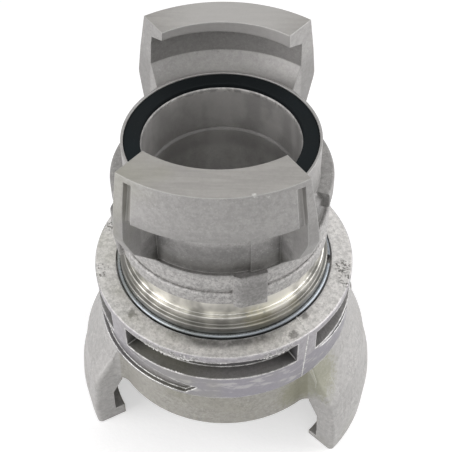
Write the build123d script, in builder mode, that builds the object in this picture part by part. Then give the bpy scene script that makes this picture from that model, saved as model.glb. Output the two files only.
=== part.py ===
from build123d import *

import os
from math import cos, radians, sin, sqrt, tan

os.makedirs("parts", exist_ok=True)

# Fire hose adapter: a small hooked half coupling on top, a large one below, screwed together back to back.
# Millimetres and degrees. The axis is Z, the floor under the large claws is Z = 0, and one small claw
# looks along -Y. Turns are counter-clockwise seen from above, from +X.

# Waterways
small_bore = 75.0
small_bore_depth = 28.0
tail_bore_step = 1.2
large_bore = 100.0
stop_lip = 2.5
lip_chamfer_width = 0.3
lip_chamfer_height = 1.0

# Seals, and the seats that hold them
seal_depth = 8.0
seal_recess = 0.5
seal_lip_drop = 2.8
seal_edge = 0.6
small_seal_lip = 0.5
small_seal_width = 7.8
large_seal_lip = 2.2
large_seal_width = 9.3

# Rim, neck and collars of the small half
small_rim_wall = 1.2
small_rim_depth = 20.6
neck_proud = 3.3
neck_fall = 3.3
lower_collar_height = 8.0
upper_collar_height = 11.0
collar_gap = 2.4
collar_proud = 2.5
groove_proud = 0.7

# Hooked claws of the small half, with walls measured from the shell and heights from the sealing face
small_claw_reach = 26.8
small_claw_half_angle = 36.6
claw_spare_angle = 10.0
small_claw_lean = 5.0
small_claw_back_lean = 1.0
small_claw_turn = -90.0
small_hook_gap = 3.8
small_hook_width = 10.0
small_hook_thin_end = 4.4
hook_fall = 3.4
hook_lead = 12.0
small_claw_top_wall = 6.7
small_claw_brow_wall = 10.0
small_claw_brow_level = 8.0
small_claw_belly_wall = 11.8
small_claw_belly_level = -8.0
small_waist_wall = 6.0
small_waist_level = -22.0
small_shelf_level = 3.0
small_belly_fillet = 10.0
border_angle = 3.9
far_border_angle = 2.5
channel_angle = 3.5
channel_depth = 3.0
channel_overrun = 6.0
panel_top_band = 2.6
panel_foot_level = 5.5
pocket_roof_level = -16.0
pocket_pad = 0.6

# Side ramps of the small half, which the hooks of another coupling clamp behind
ramp_angle = 71.0
ramp_width = 6.8
ramp_edge = 1.2
ramp_thickness = 8.8
ramp_room = 9.4

# Spanner lugs and the cast step on the neck
lug_count = 4
lug_turn = -70.8
lug_width = 12.5
lug_proud = 4.9
lug_flank = 3.5
lug_fillet = 1.0
neck_step_turn = -72.1
neck_step_angle = 17.0
neck_step_proud = 1.6

# Thread between the two halves
thread_step = 5.8
thread_length = 30.0

# Skirt of the large half
skirt_wall = 2.7
skirt_height = 28.0

# Hooked claws of the large half, with walls measured from the shell and heights from the floor
large_claw_reach = 40.7
large_claw_half_angle = 36.0
large_claw_turn = -5.0
large_claw_lean = 4.0
large_hook_gap = 1.4
large_hook_width = 5.8
large_hook_thin_end = 3.2
large_hook_lead = 25.4
hook_corner = 0.4
large_claw_tip_wall = 10.6
large_claw_belly_wall = 11.5
large_tip_level = 17.5
large_brow_wall = 9.2
large_brow_drop = 27.2
large_brow_fillet = 14.0
large_neck_proud = 6.3
large_neck_drop = 10.8
large_root_proud = 2.8
large_claw_fillet = 2.5
large_root_fillet = 6.0
large_shelf_foot = 4.2
large_shelf_level = 14.5
large_border_angle = 5.5
large_panel_depth = 2.2
large_band_height = 22.0
large_band_slope = 5.0

# Hub on which the locking ring turns
hub_wall = 5.1
hub_step_width = 2.2
hub_top_height = 11.6
hub_step_height = 5.0
journal_step = 2.1
journal_land = 4.4
wire_radius = 1.2
wire_arc = 354.0

# Locking ring
running_clearance = 0.3
ring_height = 34.8
ring_wall = 5.4
slot_depth = 7.7
ring_flange = 4.0
ring_band = 17.0
slot_count = 4
block_angle = 10.3
block_turn = -48.8
ring_mouth_width = 0.7
ring_mouth_depth = 1.2
relief_count = 2
relief_depth = 2.4
relief_lip = 1.3
relief_gap = 1.6
relief_band = 17.0
relief_lead = 72.0
relief_end_turn = -104.3
relief_run = 120.0
relief_end_drop = 8.1
relief_point_width = 6.9
relief_point_fall = 1.0

# Edge breaks, and how far joined shapes reach into each other and cuts run past a surface
cast_fillet = 1.5
machined_chamfer = 0.5
joint_overlap = 1.0
cut_reach = 10.0

# Radii of the small half, worked out from the waterway outwards
small_seal_inner_radius = small_bore / 2 + small_seal_lip
small_seal_outer_radius = small_seal_inner_radius + small_seal_width
small_rim_radius = small_seal_outer_radius + small_rim_wall
neck_radius = small_rim_radius + neck_proud
collar_radius = neck_radius + collar_proud
groove_radius = neck_radius + groove_proud
ramp_radius = small_rim_radius + ramp_width
small_hook_radius = small_rim_radius + small_hook_gap
small_shell_radius = small_hook_radius + small_hook_width
small_belly_radius = small_shell_radius + small_claw_belly_wall
tail_radius = small_bore / 2 - tail_bore_step
thread_radius = neck_radius - thread_step

# Radii of the hub and the locking ring
hub_bore_radius = thread_radius - stop_lip
hub_radius = thread_radius + hub_wall
hub_step_radius = hub_radius + hub_step_width
journal_radius = hub_step_radius + journal_step
wire_seat_depth = wire_radius / 2
wire_centre_radius = journal_radius - wire_seat_depth + wire_radius
ring_bore_radius = journal_radius + running_clearance
slot_radius = ring_bore_radius + ring_wall
ring_radius = slot_radius + slot_depth
mouth_radius = wire_centre_radius + wire_radius + ring_mouth_width

# Radii of the skirt and the large claws
large_seal_inner_radius = large_bore / 2 + large_seal_lip
large_seal_outer_radius = large_seal_inner_radius + large_seal_width
skirt_radius = large_seal_outer_radius + skirt_wall
large_hook_radius = skirt_radius + large_hook_gap
large_shell_radius = large_hook_radius + large_hook_width
large_belly_radius = large_shell_radius + large_claw_belly_wall
large_brow_radius = large_shell_radius + large_brow_wall
large_neck_radius = skirt_radius + large_neck_proud

# Levels, from the floor up
large_face = large_claw_reach
shoulder = large_face + skirt_height
ring_bottom = shoulder + running_clearance
ring_top = ring_bottom + ring_height
slot_floor = ring_bottom + ring_band
slot_roof = ring_top - ring_flange
mouth_floor = ring_top - ring_mouth_depth
wire_level = mouth_floor + running_clearance + wire_radius
journal_top = wire_level + wire_radius + journal_land
hub_step_top = journal_top + hub_step_height
hub_top = hub_step_top + hub_top_height
lower_collar_top = hub_top + lower_collar_height
upper_collar_bottom = lower_collar_top + collar_gap
upper_collar_top = upper_collar_bottom + upper_collar_height
ramp_underside = upper_collar_top + ramp_room
ramp_top = ramp_underside + ramp_thickness
small_face = ramp_top + small_rim_depth
small_claw_top = small_face + small_claw_reach


def radial_plane(turn):
    """Upright plane through the axis, with the radius as its x and the height as its y."""
    outward = (cos(radians(turn)), sin(radians(turn)), 0)
    sideways = (sin(radians(turn)), -cos(radians(turn)), 0)
    return Plane(origin=(0, 0, 0), x_dir=outward, z_dir=sideways)


def rise(lead, turn):
    """Height that a helix gains over an angle."""
    return lead * turn / 360


def wall_plane(turn, radius):
    """Upright plane that touches a cylinder, with the height as its y."""
    outward = (cos(radians(turn)), sin(radians(turn)), 0)
    along = (-sin(radians(turn)), cos(radians(turn)), 0)
    origin = tuple(radius * part for part in outward)
    return Plane(origin=origin, x_dir=along, z_dir=outward)


def seat_outline(face, side, inner_radius, outer_radius, rim_radius, bore_radius):
    """Points of a seal seat from the waterway to the rim. Side is 1 for a face that looks up, -1 for down."""
    floor = face - side * (seal_recess + seal_depth)
    lip = face - side * seal_lip_drop
    return [
        (bore_radius, lip - side * lip_chamfer_height),
        (bore_radius + lip_chamfer_width, lip),
        (inner_radius, lip),
        (inner_radius, floor),
        (outer_radius, floor),
        (outer_radius, face),
        (rim_radius, face),
    ]


def helical_cut(outline, lead, start, turn, left_hand=False):
    """Outline of radii and heights that climbs as it turns from start, clockwise when it is left-handed."""
    radii = [point[0] for point in outline]
    with BuildPart() as band:
        with BuildLine():
            Helix(pitch=lead, height=rise(lead, turn), radius=sum(radii) / len(radii), lefthand=left_hand)
        with BuildSketch(radial_plane(0)):
            with BuildLine():
                Polyline(*outline, close=True)
            make_face()
        sweep(is_frenet=True)
    return band.part.rotate(Axis.Z, start)


def on_outside(edge):
    """True for those edges of a large claw's end that run up its outer surface."""
    middle = edge.center()
    beside_hook = sqrt(middle.X**2 + middle.Y**2) > large_shell_radius + joint_overlap
    beside_neck = middle.Z > shoulder - large_neck_drop
    return (beside_hook or beside_neck) and joint_overlap < middle.Z < shoulder - joint_overlap


def claw_end(turn, level, lean):
    """Plane through the radial line at a level, which leans away from the claw as it goes down."""
    side = 1 if turn > 0 else -1
    outward = (cos(radians(turn)), sin(radians(turn)), 0)
    flat = side * cos(radians(lean))
    normal = (-sin(radians(turn)) * flat, cos(radians(turn)) * flat, sin(radians(lean)))
    return Plane(origin=(0, 0, level), x_dir=outward, z_dir=normal)


# One hooked claw of the small half, centred on +X
small_claw_span = 2 * (small_claw_half_angle + claw_spare_angle)
small_hook_thick_end = small_hook_thin_end + rise(hook_lead, small_claw_span - claw_spare_angle)
small_hook_underside = small_claw_top - small_hook_thick_end
small_window_roof = small_hook_underside - hook_fall
hook_slope = hook_fall / small_hook_width
hook_cut_height = rise(hook_lead, small_claw_span) + joint_overlap
pocket_start = border_angle - small_claw_half_angle
pocket_end = small_claw_half_angle - far_border_angle
pocket_slope = (panel_foot_level - pocket_roof_level) / (small_belly_radius - neck_radius - pocket_pad)
channel_top = small_claw_top - panel_top_band
channel_foot = small_face + panel_foot_level - channel_overrun
panel_foot = small_face + panel_foot_level
cut_radius = small_belly_radius + cut_reach
with BuildPart() as small_claw:
    with BuildSketch(radial_plane(-small_claw_half_angle - claw_spare_angle)) as section:
        with BuildLine():
            Polyline(
                (small_hook_radius, small_claw_top),
                (small_hook_radius, small_hook_underside),
                (small_shell_radius, small_window_roof),
                (small_shell_radius, small_face + small_shelf_level),
                (small_rim_radius, small_face - small_rim_depth),
                (small_rim_radius - joint_overlap, small_face - small_rim_depth),
                (small_rim_radius - joint_overlap, upper_collar_top - joint_overlap),
                (collar_radius, upper_collar_top - joint_overlap),
                (collar_radius, upper_collar_top),
                (small_shell_radius + small_waist_wall, small_face + small_waist_level),
                (small_belly_radius, small_face + small_claw_belly_level),
                (small_shell_radius + small_claw_brow_wall, small_face + small_claw_brow_level),
                (small_shell_radius + small_claw_top_wall, small_claw_top),
                close=True,
            )
        make_face()
        fillet(section.vertices().sort_by(Axis.X)[-1], small_belly_fillet)
    revolve(axis=Axis.Z, revolution_arc=small_claw_span)
    split(bisect_by=claw_end(small_claw_half_angle, small_claw_top, small_claw_lean), keep=Keep.BOTTOM)
    split(bisect_by=claw_end(-small_claw_half_angle, small_claw_top, small_claw_back_lean), keep=Keep.BOTTOM)
    # Helical underside of the hook, thin at the end where another claw slides in
    relief_reach = small_shell_radius - hook_corner
    relief = helical_cut(
        [
            (small_hook_radius - joint_overlap, small_hook_underside + joint_overlap * hook_slope),
            (relief_reach, small_window_roof + hook_corner * hook_slope),
            (relief_reach, small_window_roof - hook_cut_height),
            (small_hook_radius - joint_overlap, small_hook_underside - hook_cut_height),
        ],
        hook_lead,
        -small_claw_span / 2,
        small_claw_span,
    )
    add(relief, mode=Mode.SUBTRACT)
    # Channels that leave a raised border at both ends of the outside
    for start in (pocket_start, pocket_end - channel_angle):
        with BuildSketch(radial_plane(start)):
            with BuildLine():
                Polyline(
                    (small_shell_radius + small_claw_top_wall - channel_depth, channel_top),
                    (small_belly_radius - channel_depth, channel_foot),
                    (cut_radius, channel_foot),
                    (cut_radius, channel_top),
                    close=True,
                )
            make_face()
        revolve(axis=Axis.Z, revolution_arc=channel_angle, mode=Mode.SUBTRACT)
    # Hollow under the panel, down to the collar
    with BuildSketch(radial_plane(pocket_start)):
        with BuildLine():
            Polyline(
                (neck_radius + pocket_pad, small_face + pocket_roof_level),
                (cut_radius, panel_foot + cut_reach * pocket_slope),
                (cut_radius, upper_collar_top),
                (neck_radius + pocket_pad, upper_collar_top),
                close=True,
            )
        make_face()
    revolve(axis=Axis.Z, revolution_arc=pocket_end - pocket_start, mode=Mode.SUBTRACT)

# One side ramp of the small half, from +X counter-clockwise, thinner at its far end
ramp_cut_height = rise(hook_lead, ramp_angle) + joint_overlap
with BuildPart() as side_ramp:
    with BuildSketch(radial_plane(0)) as section:
        with BuildLine():
            Polyline(
                (small_rim_radius - joint_overlap, ramp_top),
                (ramp_radius, ramp_top),
                (ramp_radius, ramp_underside),
                (small_rim_radius - joint_overlap, ramp_underside),
                close=True,
            )
        make_face()
        fillet(section.vertices().group_by(Axis.X)[-1], ramp_edge)
    revolve(axis=Axis.Z, revolution_arc=ramp_angle)
    underside = helical_cut(
        [
            (neck_radius - joint_overlap, ramp_underside - ramp_cut_height),
            (neck_radius - joint_overlap, ramp_underside),
            (ramp_radius + joint_overlap, ramp_underside),
            (ramp_radius + joint_overlap, ramp_underside - ramp_cut_height),
        ],
        hook_lead,
        0,
        ramp_angle,
    )
    add(underside, mode=Mode.SUBTRACT)

# One spanner lug across both collars, on +X, with a slanting flank on its clockwise side
with BuildPart() as lug:
    with BuildSketch(Plane.XY.offset(hub_top)):
        with BuildLine():
            Polyline(
                (neck_radius - joint_overlap, -lug_width / 2 - lug_flank),
                (collar_radius, -lug_width / 2 - lug_flank),
                (neck_radius + lug_proud, -lug_width / 2),
                (neck_radius + lug_proud, lug_width / 2),
                (neck_radius - joint_overlap, lug_width / 2),
                close=True,
            )
        make_face()
    extrude(amount=upper_collar_top - hub_top)
    outer_face = lug.faces().sort_by(Axis.X)[-1]
    fillet(outer_face.edges(), lug_fillet)

# Small half coupling
with BuildPart() as small_half_coupling:
    with BuildSketch(Plane.XZ) as section:
        with BuildLine():
            Polyline(
                *seat_outline(
                    small_face,
                    1,
                    small_seal_inner_radius,
                    small_seal_outer_radius,
                    small_rim_radius,
                    small_bore / 2,
                ),
                (small_rim_radius, small_face - small_rim_depth),
                (neck_radius, small_face - small_rim_depth - neck_fall),
                (neck_radius, upper_collar_top),
                (collar_radius, upper_collar_top),
                (collar_radius, upper_collar_bottom),
                (groove_radius, upper_collar_bottom),
                (groove_radius, lower_collar_top),
                (collar_radius, lower_collar_top),
                (collar_radius, hub_top),
                (thread_radius, hub_top),
                (thread_radius, hub_top - thread_length),
                (tail_radius, hub_top - thread_length),
                (tail_radius, small_face - small_bore_depth - tail_bore_step),
                (small_bore / 2, small_face - small_bore_depth),
                close=True,
            )
        make_face()
        collar_corners = section.vertices().filter_by(lambda v: abs(v.X - collar_radius) < 0.01)
        fillet(collar_corners, cast_fillet)
    revolve(axis=Axis.Z)
    with PolarLocations(0, 2, start_angle=small_claw_turn):
        add(small_claw.part)
    with PolarLocations(0, 2, start_angle=small_claw_turn + 180 - small_claw_half_angle - ramp_angle):
        add(side_ramp.part)
    # Cast step on the neck inside the hollow of the claws
    with BuildSketch(radial_plane(neck_step_turn), radial_plane(neck_step_turn + 180)):
        with BuildLine():
            Polyline(
                (neck_radius - joint_overlap, small_face + pocket_roof_level),
                (neck_radius + neck_step_proud, small_face + pocket_roof_level),
                (neck_radius + neck_step_proud, upper_collar_top),
                (neck_radius - joint_overlap, upper_collar_top),
                close=True,
            )
        make_face()
    revolve(axis=Axis.Z, revolution_arc=neck_step_angle)
    # Spanner lugs across both collars
    for place in range(lug_count):
        add(lug.part.rotate(Axis.Z, lug_turn + place * 360 / lug_count))
small_half_coupling.part.label = "small_half_coupling"

# Flare that rounds the counter-clockwise end of a large claw into the skirt
with BuildPart() as root_flare:
    outward = (cos(radians(large_claw_half_angle)), sin(radians(large_claw_half_angle)), 0)
    for level in (large_face, shoulder):
        claw_side = level * tan(radians(large_claw_lean))
        far_side = claw_side + large_root_fillet
        corner_gap = large_root_fillet * (1 - sqrt(0.5))
        with BuildSketch(Plane(origin=(0, 0, level), x_dir=outward, z_dir=(0, 0, 1))):
            with BuildLine():
                Polyline(
                    (skirt_radius + large_root_fillet, claw_side),
                    (skirt_radius + large_root_fillet, claw_side - joint_overlap),
                    (skirt_radius - skirt_wall, claw_side - joint_overlap),
                    (skirt_radius - skirt_wall, far_side),
                    (sqrt(skirt_radius**2 - far_side**2), far_side),
                )
                ThreePointArc(
                    (sqrt(skirt_radius**2 - far_side**2), far_side),
                    (skirt_radius + corner_gap, claw_side + corner_gap),
                    (skirt_radius + large_root_fillet, claw_side),
                )
            make_face()
    loft(ruled=True)
    # It stays under the claw's own outline, and outside the seal's seat
    with BuildSketch(Plane.XZ):
        with BuildLine():
            Polyline(
                (skirt_radius - skirt_wall / 2, large_face),
                (large_neck_radius, large_face),
                (large_neck_radius, shoulder - large_neck_drop),
                (skirt_radius + large_root_proud, shoulder),
                (skirt_radius - skirt_wall / 2, shoulder),
                close=True,
            )
        make_face()
    revolve(axis=Axis.Z, mode=Mode.INTERSECT)

# One hooked claw of the large half, centred on +X
large_claw_span = 2 * (large_claw_half_angle + claw_spare_angle)
large_hook_start = large_hook_thin_end - rise(large_hook_lead, claw_spare_angle)
large_hook_thick_end = large_hook_start + rise(large_hook_lead, large_claw_span)
large_hook_cut_top = large_hook_thick_end + joint_overlap
panel_arc = 2 * (large_claw_half_angle - large_border_angle)
with BuildPart() as large_claw:
    with BuildSketch(radial_plane(-large_claw_half_angle - claw_spare_angle)) as section:
        with BuildLine():
            Polyline(
                (large_hook_radius, 0),
                (large_shell_radius + large_claw_tip_wall, 0),
                (large_belly_radius, large_tip_level),
                (large_brow_radius, shoulder - large_brow_drop),
                (large_neck_radius, shoulder - large_neck_drop),
                (skirt_radius + large_root_proud, shoulder),
                (skirt_radius - skirt_wall / 2, shoulder),
                (skirt_radius - skirt_wall / 2, large_face),
                (large_hook_radius, large_face),
                (large_hook_radius, large_face - large_shelf_foot),
                (large_shell_radius, large_face - large_shelf_level),
                (large_shell_radius, large_hook_thick_end),
                (large_hook_radius, large_hook_thick_end),
                close=True,
            )
        make_face()
        brow = section.vertices().filter_by(lambda v: abs(v.X - large_brow_radius) < 0.01)
        fillet(brow, large_brow_fillet)
    revolve(axis=Axis.Z, revolution_arc=large_claw_span)
    for turn in (large_claw_half_angle, -large_claw_half_angle):
        split(bisect_by=claw_end(turn, 0, -large_claw_lean), keep=Keep.BOTTOM)
    # Helical clamping face of the hook
    relief_reach = large_shell_radius - hook_corner
    relief = helical_cut(
        [
            (large_hook_radius - joint_overlap, large_hook_start),
            (relief_reach, large_hook_start),
            (relief_reach, large_hook_cut_top),
            (large_hook_radius - joint_overlap, large_hook_cut_top),
        ],
        large_hook_lead,
        -large_claw_span / 2,
        large_claw_span,
    )
    add(relief, mode=Mode.SUBTRACT)
    # Shallow panel between the raised borders
    with BuildSketch(radial_plane(-panel_arc / 2)):
        with BuildLine():
            Polyline(
                (large_belly_radius, large_band_height),
                (large_belly_radius - large_panel_depth, large_band_height + large_band_slope),
                (large_brow_radius - large_panel_depth, shoulder - large_brow_drop),
                (large_neck_radius, shoulder - large_neck_drop),
                (large_neck_radius + cut_reach, shoulder - large_neck_drop),
                (large_belly_radius + cut_reach, large_band_height),
                close=True,
            )
        make_face()
    revolve(axis=Axis.Z, revolution_arc=panel_arc, mode=Mode.SUBTRACT)
    # Rounded outer corners of the two ends
    upright = large_claw.faces().filter_by(GeomType.PLANE).filter_by(lambda f: abs(f.normal_at().Z) < 0.5)
    ends = upright.sort_by(SortBy.AREA)[-2:]
    fillet([edge for end in ends for edge in end.edges().filter_by(on_outside)], large_claw_fillet)
    add(root_flare.part)
    add(mirror(root_flare.part, about=Plane.XZ))

# Large half coupling
with BuildPart() as large_half_coupling:
    with BuildSketch(Plane.XZ) as section:
        with BuildLine():
            Polyline(
                *seat_outline(
                    large_face,
                    -1,
                    large_seal_inner_radius,
                    large_seal_outer_radius,
                    skirt_radius,
                    large_bore / 2,
                ),
                (skirt_radius, shoulder),
                (journal_radius, shoulder),
                (journal_radius, wire_level - wire_radius),
                (journal_radius - wire_seat_depth, wire_level - wire_radius),
                (journal_radius - wire_seat_depth, wire_level + wire_radius),
                (journal_radius, wire_level + wire_radius),
                (journal_radius, journal_top),
                (hub_step_radius, journal_top),
                (hub_step_radius, hub_step_top),
                (hub_radius, hub_step_top),
                (hub_radius, hub_top),
                (thread_radius, hub_top),
                (thread_radius, hub_top - thread_length),
                (hub_bore_radius, hub_top - thread_length),
                (hub_bore_radius, shoulder),
                (large_bore / 2, shoulder - large_bore / 2 + hub_bore_radius),
                close=True,
            )
        make_face()
        hub_corners = section.vertices().filter_by(lambda v: v.X > thread_radius + joint_overlap)
        steps = hub_corners.filter_by(lambda v: journal_top - joint_overlap < v.Y < hub_top - joint_overlap)
        fillet(steps, machined_chamfer)
    revolve(axis=Axis.Z)
    with PolarLocations(0, 2, start_angle=large_claw_turn):
        add(large_claw.part)
large_half_coupling.part.label = "large_half_coupling"

# Locking ring
slot_arc = 360 / slot_count - block_angle
relief_radius = ring_radius - relief_depth
relief_top = slot_floor - relief_end_drop
relief_floor = ring_bottom + relief_lip
with BuildPart() as relief_groove:
    band_outline = [
        (relief_radius, relief_top - relief_band),
        (ring_radius + joint_overlap, relief_top - relief_band),
        (ring_radius + joint_overlap, relief_top),
        (relief_radius, relief_top),
    ]
    add(helical_cut(band_outline, relief_lead, relief_end_turn, relief_run, left_hand=True))
    # Slanting point at the low end
    with BuildSketch(wall_plane(relief_end_turn, relief_radius)):
        with BuildLine():
            Polyline(
                (-joint_overlap, relief_top),
                (relief_point_width, relief_top - relief_point_fall),
                (0, relief_floor),
                (-joint_overlap, relief_floor),
                close=True,
            )
        make_face()
    extrude(amount=relief_depth + joint_overlap)
    # Only the band below the slots is cut
    with BuildSketch(Plane.XY.offset(relief_floor)):
        Circle(ring_radius + cut_reach)
    extrude(amount=slot_floor - relief_gap - relief_floor, mode=Mode.INTERSECT)

with BuildPart() as locking_ring:
    with BuildSketch(Plane.XZ) as section:
        with BuildLine():
            Polyline(
                (ring_bore_radius, ring_bottom),
                (ring_radius, ring_bottom),
                (ring_radius, ring_top),
                (mouth_radius, ring_top),
                (mouth_radius, mouth_floor),
                (ring_bore_radius, mouth_floor),
                close=True,
            )
        make_face()
        fillet(section.vertices().group_by(Axis.X)[-1], machined_chamfer)
    revolve(axis=Axis.Z)
    for place in range(slot_count):
        start = block_turn + block_angle / 2 + place * 360 / slot_count
        with BuildSketch(radial_plane(start)):
            with BuildLine():
                Polyline(
                    (slot_radius, slot_floor),
                    (ring_radius + joint_overlap, slot_floor),
                    (ring_radius + joint_overlap, slot_roof),
                    (slot_radius, slot_roof),
                    close=True,
                )
            make_face()
        revolve(axis=Axis.Z, revolution_arc=slot_arc, mode=Mode.SUBTRACT)
    with PolarLocations(0, relief_count):
        add(relief_groove.part, mode=Mode.SUBTRACT)
locking_ring.part.label = "locking_ring"

# Wire ring in the hub's groove, open by a few degrees
with BuildPart() as retaining_ring:
    with BuildSketch(Plane.XZ):
        with Locations((wire_centre_radius, wire_level)):
            Circle(wire_radius)
    revolve(axis=Axis.Z, revolution_arc=wire_arc)
retaining_ring.part.label = "retaining_ring"

# Seals
with BuildPart() as small_seal:
    with BuildSketch(Plane.XZ) as section:
        with BuildLine():
            Polyline(
                (small_seal_inner_radius, small_face - seal_recess - seal_depth),
                (small_seal_outer_radius, small_face - seal_recess - seal_depth),
                (small_seal_outer_radius, small_face - seal_recess),
                (small_seal_inner_radius, small_face - seal_recess),
                close=True,
            )
        make_face()
        fillet(section.vertices().group_by(Axis.Y)[-1], seal_edge)
    revolve(axis=Axis.Z)
small_seal.part.label = "small_seal"

with BuildPart() as large_seal:
    with BuildSketch(Plane.XZ) as section:
        with BuildLine():
            Polyline(
                (large_seal_inner_radius, large_face + seal_recess + seal_depth),
                (large_seal_outer_radius, large_face + seal_recess + seal_depth),
                (large_seal_outer_radius, large_face + seal_recess),
                (large_seal_inner_radius, large_face + seal_recess),
                close=True,
            )
        make_face()
        fillet(section.vertices().group_by(Axis.Y)[0], seal_edge)
    revolve(axis=Axis.Z)
large_seal.part.label = "large_seal"

pieces = (small_half_coupling, large_half_coupling, locking_ring, retaining_ring, small_seal, large_seal)
for piece in pieces:
    export_step(piece.part, f"parts/{piece.part.label}.step")
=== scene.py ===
"""Looks of a hooked hose coupling adapter: cast and turned aluminium, a spring wire and two rubber seals."""

import math
import random

import bpy
from mathutils import Matrix, Vector


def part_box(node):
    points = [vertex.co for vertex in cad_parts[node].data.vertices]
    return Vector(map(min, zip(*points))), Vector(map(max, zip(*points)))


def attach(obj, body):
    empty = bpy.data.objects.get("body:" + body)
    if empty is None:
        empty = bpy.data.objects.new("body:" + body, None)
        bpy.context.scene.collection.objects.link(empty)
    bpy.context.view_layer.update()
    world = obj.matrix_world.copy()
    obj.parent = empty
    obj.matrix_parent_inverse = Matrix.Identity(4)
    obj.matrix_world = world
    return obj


bl_info = {
    "name": "Hose Coupling Finishes",
    "version": (1, 0, 0),
    "blender": (4, 5, 0),
    "location": "3D View > Sidebar > Coupling",
    "description": "Gives a packed hose coupling its cast, turned, sprung and rubber finishes",
    "category": "Material",
}

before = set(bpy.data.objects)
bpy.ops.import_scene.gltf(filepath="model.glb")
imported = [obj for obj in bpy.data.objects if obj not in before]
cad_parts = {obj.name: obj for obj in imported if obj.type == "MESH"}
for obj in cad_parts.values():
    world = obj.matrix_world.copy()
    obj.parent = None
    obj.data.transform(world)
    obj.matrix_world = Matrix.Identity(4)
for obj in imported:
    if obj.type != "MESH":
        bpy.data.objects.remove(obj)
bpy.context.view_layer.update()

# Levels of the coupling's parts, in metres over the floor
SMALL_CLAW_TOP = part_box("small_half_coupling")[1].z
HUB_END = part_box("large_half_coupling")[1].z
COLLARS_TOP = HUB_END + 0.0214
RIM_FACE = SMALL_CLAW_TOP - 0.0268
BORE_STEP = RIM_FACE - 0.0280
NECK_TOP = 0.166
PANEL_FOOT = 0.186
RING_LOW, RING_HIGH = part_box("locking_ring")
SLOT_FLOOR = RING_LOW.z + 0.0170
SLOT_ROOF = RING_HIGH.z - 0.0040

# Radii of the small half's bore, rim, hooks and lugs, and of the ring's outside, in metres
BORE_RADIUS = 0.0375
RIM_RADIUS = 0.0470
HOOK_RADIUS = 0.0508
LUG_RADIUS = 0.0552
RING_RADIUS = RING_HIGH.x

# Radii just outside the hub's wall, its steps and the skirt, in metres
HUB_WALL = 0.0500
HUB_LIMIT = 0.0545
SKIRT_LIMIT = 0.0660

# Radii just inside the claws of the small half and the ring's band, in metres
CLAW_LIMIT = 0.0600
BAND_LIMIT = 0.0645

# Point that the lamps shine at, about the middle of the coupling
LAMP_AIM = Vector((0.0, 0.0, 0.10))


def at(turn, radius, height):
    """Place given by a turn in degrees from +X, a radius and a height."""
    return Vector((radius * math.cos(math.radians(turn)), radius * math.sin(math.radians(turn)), height))


def on_ring_top(*spots):
    """Places on the top of the locking ring, each given by a turn and a radius."""
    return tuple(at(turn, radius, RING_HIGH.z) for turn, radius in spots)


def on_hub(*spots):
    """Places on the turned hub, each given by a turn and a height."""
    return tuple(at(turn, HUB_WALL, height) for turn, height in spots)


# Where the castings carry pits, stains and wear, and where light and shade are painted on them
RING_PITS = on_ring_top((-6, 0.0625), (-14, 0.0665), (164.5, 0.064), (-166, 0.0655))
RING_DIRT = on_ring_top((-135.5, 0.0605), (-43.2, 0.0575), (-54.2, 0.0637), (-79, 0.057))
# Front of the ring's top beside the wire, where dirt and painted shade go
RING_FRONT = on_ring_top((-84, 0.0575))
TORN_FLANGE = tuple(at(turn, 0.0674, 0.1008) for turn in (-124, -119, -114, -109, -104, -99, -68, -63, -58))
ROOT_STAINS = (at(-46, 0.067, 0.065), at(-44, 0.070, 0.058), at(-50, 0.0655, 0.054), at(-40, 0.0715, 0.062))
CLAW_NICKS = (at(-70.5, 0.0667, 0.2114), at(-75.0, 0.0667, 0.2127), at(-121.0, 0.0665, 0.2120))
# Top of the back claw, which gets painted light
BACK_CLAW_TOP = (at(88, 0.060, SMALL_CLAW_TOP),)
# Faces of the spanner lugs, which get painted shade
LUG_FACES = tuple(at(-70.8 + 90 * place, LUG_RADIUS, HUB_END + 0.0107) for place in range(4))
HUB_STAINS = on_hub((-58, 0.112), (-50, 0.109), (-67, 0.108))
# Bright spots on the turned hub, which are painted highlights
HUB_PAINTED_HIGHLIGHTS = on_hub((-53, 0.1140), (-57, 0.1185), (-50, 0.1170), (-61, 0.1210), (-125, 0.1200))

# Burrs of the locking ring: first and last turn, level of the edge, and how far they hang from it,
# which is below zero where they stand up
BURRS = (
    (-123.0, -99.0, SLOT_ROOF, 0.0024),
    (-99.0, -84.0, SLOT_ROOF, 0.0012),
    (-73.0, -57.0, SLOT_ROOF, 0.0018),
    (-117.0, -103.0, SLOT_FLOOR, -0.0012),
    (-30.0, -18.0, SLOT_ROOF, 0.0009),
    (60.0, 72.0, SLOT_ROOF, 0.0010),
    (150.0, 166.0, SLOT_FLOOR, -0.0008),
)


# Shader building


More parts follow.
